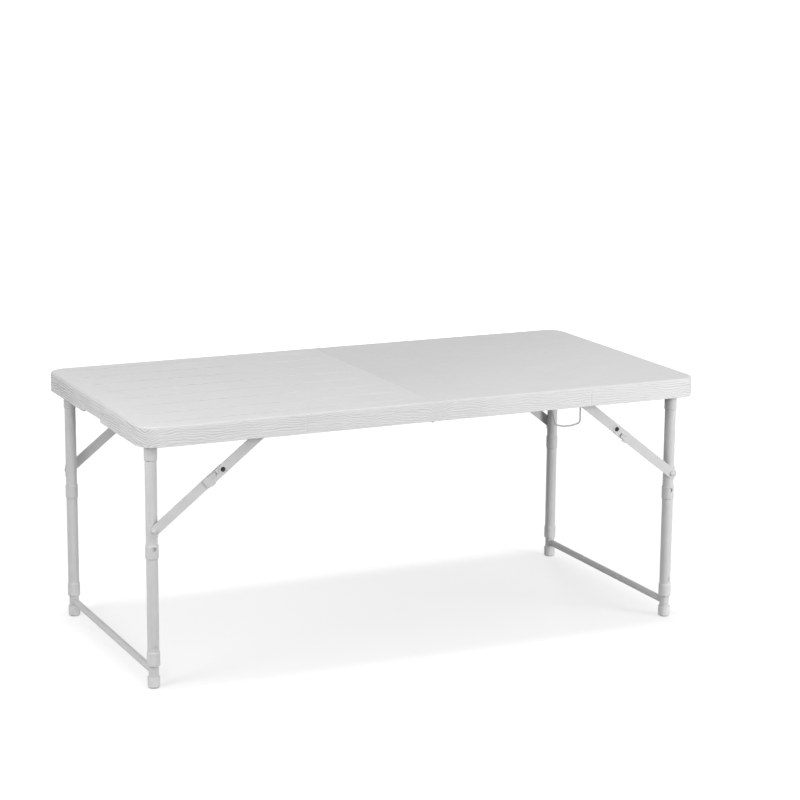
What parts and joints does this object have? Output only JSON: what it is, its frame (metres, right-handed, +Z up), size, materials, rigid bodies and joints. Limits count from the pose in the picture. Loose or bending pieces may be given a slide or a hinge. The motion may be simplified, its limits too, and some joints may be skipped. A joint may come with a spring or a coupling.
{
  "type": "folding garden table",
  "caption": "Folding table with a moulded top hinged in two halves, folding braced steel legs and telescopic feet that set its height.",
  "frame": {"origin": "on the floor, under the middle of the table", "axes": "+X along the length to the right, +Y to the back, +Z up"},
  "size_m": [1.22, 0.61, 0.527],
  "materials": {
    "moulded_top": "satin, embossed grain",
    "powder_coat": "satin powder coat",
    "grey_nylon": "satin",
    "foot_plastic": "matt",
    "black_rivet": "satin black",
    "zinc_plate": "zinc plated",
    "wire": "satin powder coat"
  },
  "bodies": {
    "left_half": {"left_tabletop": "moulded_top", "left_front_rail": "powder_coat", "left_back_rail": "powder_coat", "front_hinge_fork": "powder_coat", "back_hinge_fork": "powder_coat", "left_bail_clip": "powder_coat", "left_rail_screws": "zinc_plate", "left_brace_pins": "zinc_plate", "hinge_pins": "zinc_plate", "left_pivot_bushes": "grey_nylon"},
    "right_half": {"right_tabletop": "moulded_top", "right_front_rail": "powder_coat", "right_back_rail": "powder_coat", "front_hinge_ear": "powder_coat", "back_hinge_ear": "powder_coat", "right_bail_clip": "powder_coat", "right_rail_screws": "zinc_plate", "right_brace_pins": "zinc_plate", "right_pivot_bushes": "grey_nylon"},
    "left_leg_frame": {"left_front_leg_tube": "powder_coat", "left_back_leg_tube": "powder_coat", "left_cross_tube": "powder_coat", "left_tube_sleeves": "powder_coat", "left_brace_lugs": "powder_coat", "left_collars": "grey_nylon"},
    "left_foot_frame": {"left_front_inner_tube": "powder_coat", "left_back_inner_tube": "powder_coat", "left_stretcher": "powder_coat", "left_foot_caps": "foot_plastic"},
    "left_front_lower_brace": {"left_front_lower_link": "powder_coat"},
    "left_front_upper_brace": {"left_front_upper_link": "powder_coat", "left_front_knuckle_rivet": "black_rivet"},
    "left_front_button": {"left_front_snap_button": "zinc_plate"},
    "left_back_lower_brace": {"left_back_lower_link": "powder_coat"},
    "left_back_upper_brace": {"left_back_upper_link": "powder_coat", "left_back_knuckle_rivet": "black_rivet"},
    "left_back_button": {"left_back_snap_button": "zinc_plate"},
    "right_leg_frame": {"right_front_leg_tube": "powder_coat", "right_back_leg_tube": "powder_coat", "right_cross_tube": "powder_coat", "right_tube_sleeves": "powder_coat", "right_brace_lugs": "powder_coat", "right_collars": "grey_nylon"},
    "right_foot_frame": {"right_front_inner_tube": "powder_coat", "right_back_inner_tube": "powder_coat", "right_stretcher": "powder_coat", "right_foot_caps": "foot_plastic"},
    "right_front_lower_brace": {"right_front_lower_link": "powder_coat"},
    "right_front_upper_brace": {"right_front_upper_link": "powder_coat", "right_front_knuckle_rivet": "black_rivet"},
    "right_front_button": {"right_front_snap_button": "zinc_plate"},
    "right_back_lower_brace": {"right_back_lower_link": "powder_coat"},
    "right_back_upper_brace": {"right_back_upper_link": "powder_coat", "right_back_knuckle_rivet": "black_rivet"},
    "right_back_button": {"right_back_snap_button": "zinc_plate"},
    "left_leg_bail": {"left_bail": "wire"},
    "right_leg_bail": {"right_bail": "wire"}
  },
  "joints": [
    {"name": "table_fold", "type": "hinge", "parent": "left_half", "child": "right_half", "pos_m": [0, 0, 0.487], "axis": [0, 1, 0], "range_deg": [0, 90]},
    {"name": "left_leg_fold", "type": "hinge", "parent": "left_half", "child": "left_leg_frame", "pos_m": [-0.575, 0, 0.502], "axis": [0, -1, 0], "range_deg": [0, 90]},
    {"name": "left_height", "type": "slide", "parent": "left_leg_frame", "child": "left_foot_frame", "axis": [0, 0, 1], "range_m": [-0.403, 0], "deforming": ["left_front_snap_button", "left_back_snap_button"]},
    {"name": "left_front_lower_brace_turn", "type": "hinge", "parent": "left_leg_frame", "child": "left_front_lower_brace", "pos_m": [-0.575, -0.2684, 0.316], "axis": [0, -1, 0], "range_deg": [-128.11, 0]},
    {"name": "left_front_upper_brace_turn", "type": "hinge", "parent": "left_half", "child": "left_front_upper_brace", "pos_m": [-0.337, -0.2707, 0.502], "axis": [0, -1, 0], "range_deg": [0, 142.09]},
    {"name": "left_front_button_press", "type": "slide", "parent": "left_foot_frame", "child": "left_front_button", "axis": [0, 1, 0], "range_m": [0, 0.005], "stiffness_N_per_m": 600, "springref_m": -0.004},
    {"name": "left_back_lower_brace_turn", "type": "hinge", "parent": "left_leg_frame", "child": "left_back_lower_brace", "pos_m": [-0.575, 0.2684, 0.316], "axis": [0, -1, 0], "range_deg": [-128.11, 0]},
    {"name": "left_back_upper_brace_turn", "type": "hinge", "parent": "left_half", "child": "left_back_upper_brace", "pos_m": [-0.337, 0.2707, 0.502], "axis": [0, -1, 0], "range_deg": [0, 142.09]},
    {"name": "left_back_button_press", "type": "slide", "parent": "left_foot_frame", "child": "left_back_button", "axis": [0, -1, 0], "range_m": [0, 0.005], "stiffness_N_per_m": 600, "springref_m": -0.004},
    {"name": "right_leg_fold", "type": "hinge", "parent": "right_half", "child": "right_leg_frame", "pos_m": [0.575, 0, 0.502], "axis": [0, 1, 0], "range_deg": [0, 90]},
    {"name": "right_height", "type": "slide", "parent": "right_leg_frame", "child": "right_foot_frame", "axis": [0, 0, 1], "range_m": [-0.403, 0], "deforming": ["right_front_snap_button", "right_back_snap_button"]},
    {"name": "right_front_lower_brace_turn", "type": "hinge", "parent": "right_leg_frame", "child": "right_front_lower_brace", "pos_m": [0.575, -0.2684, 0.316], "axis": [0, 1, 0], "range_deg": [-128.11, 0]},
    {"name": "right_front_upper_brace_turn", "type": "hinge", "parent": "right_half", "child": "right_front_upper_brace", "pos_m": [0.337, -0.2707, 0.502], "axis": [0, 1, 0], "range_deg": [0, 142.09]},
    {"name": "right_front_button_press", "type": "slide", "parent": "right_foot_frame", "child": "right_front_button", "axis": [0, 1, 0], "range_m": [0, 0.005], "stiffness_N_per_m": 600, "springref_m": -0.004},
    {"name": "right_back_lower_brace_turn", "type": "hinge", "parent": "right_leg_frame", "child": "right_back_lower_brace", "pos_m": [0.575, 0.2684, 0.316], "axis": [0, 1, 0], "range_deg": [-128.11, 0]},
    {"name": "right_back_upper_brace_turn", "type": "hinge", "parent": "right_half", "child": "right_back_upper_brace", "pos_m": [0.337, 0.2707, 0.502], "axis": [0, 1, 0], "range_deg": [0, 142.09]},
    {"name": "right_back_button_press", "type": "slide", "parent": "right_foot_frame", "child": "right_back_button", "axis": [0, -1, 0], "range_m": [0, 0.005], "stiffness_N_per_m": 600, "springref_m": -0.004},
    {"name": "left_bail_swing", "type": "hinge", "parent": "left_half", "child": "left_leg_bail", "pos_m": [-0.305, 0.287, 0.491], "axis": [-1, 0, 0], "range_deg": [-50, 50]},
    {"name": "right_bail_swing", "type": "hinge", "parent": "right_half", "child": "right_leg_bail", "pos_m": [0.305, -0.287, 0.491], "axis": [1, 0, 0], "range_deg": [-50, 50]}
  ],
  "couplings": [
    {"joint": "left_front_lower_brace_turn", "follows": "left_leg_fold", "ratio": -1.4223},
    {"joint": "left_front_upper_brace_turn", "follows": "left_leg_fold", "ratio": 1.5777},
    {"joint": "left_back_lower_brace_turn", "follows": "left_leg_fold", "ratio": -1.4223},
    {"joint": "left_back_upper_brace_turn", "follows": "left_leg_fold", "ratio": 1.5777},
    {"joint": "right_front_lower_brace_turn", "follows": "right_leg_fold", "ratio": -1.4223},
    {"joint": "right_front_upper_brace_turn", "follows": "right_leg_fold", "ratio": 1.5777},
    {"joint": "right_back_lower_brace_turn", "follows": "right_leg_fold", "ratio": -1.4223},
    {"joint": "right_back_upper_brace_turn", "follows": "right_leg_fold", "ratio": 1.5777}
  ]
}
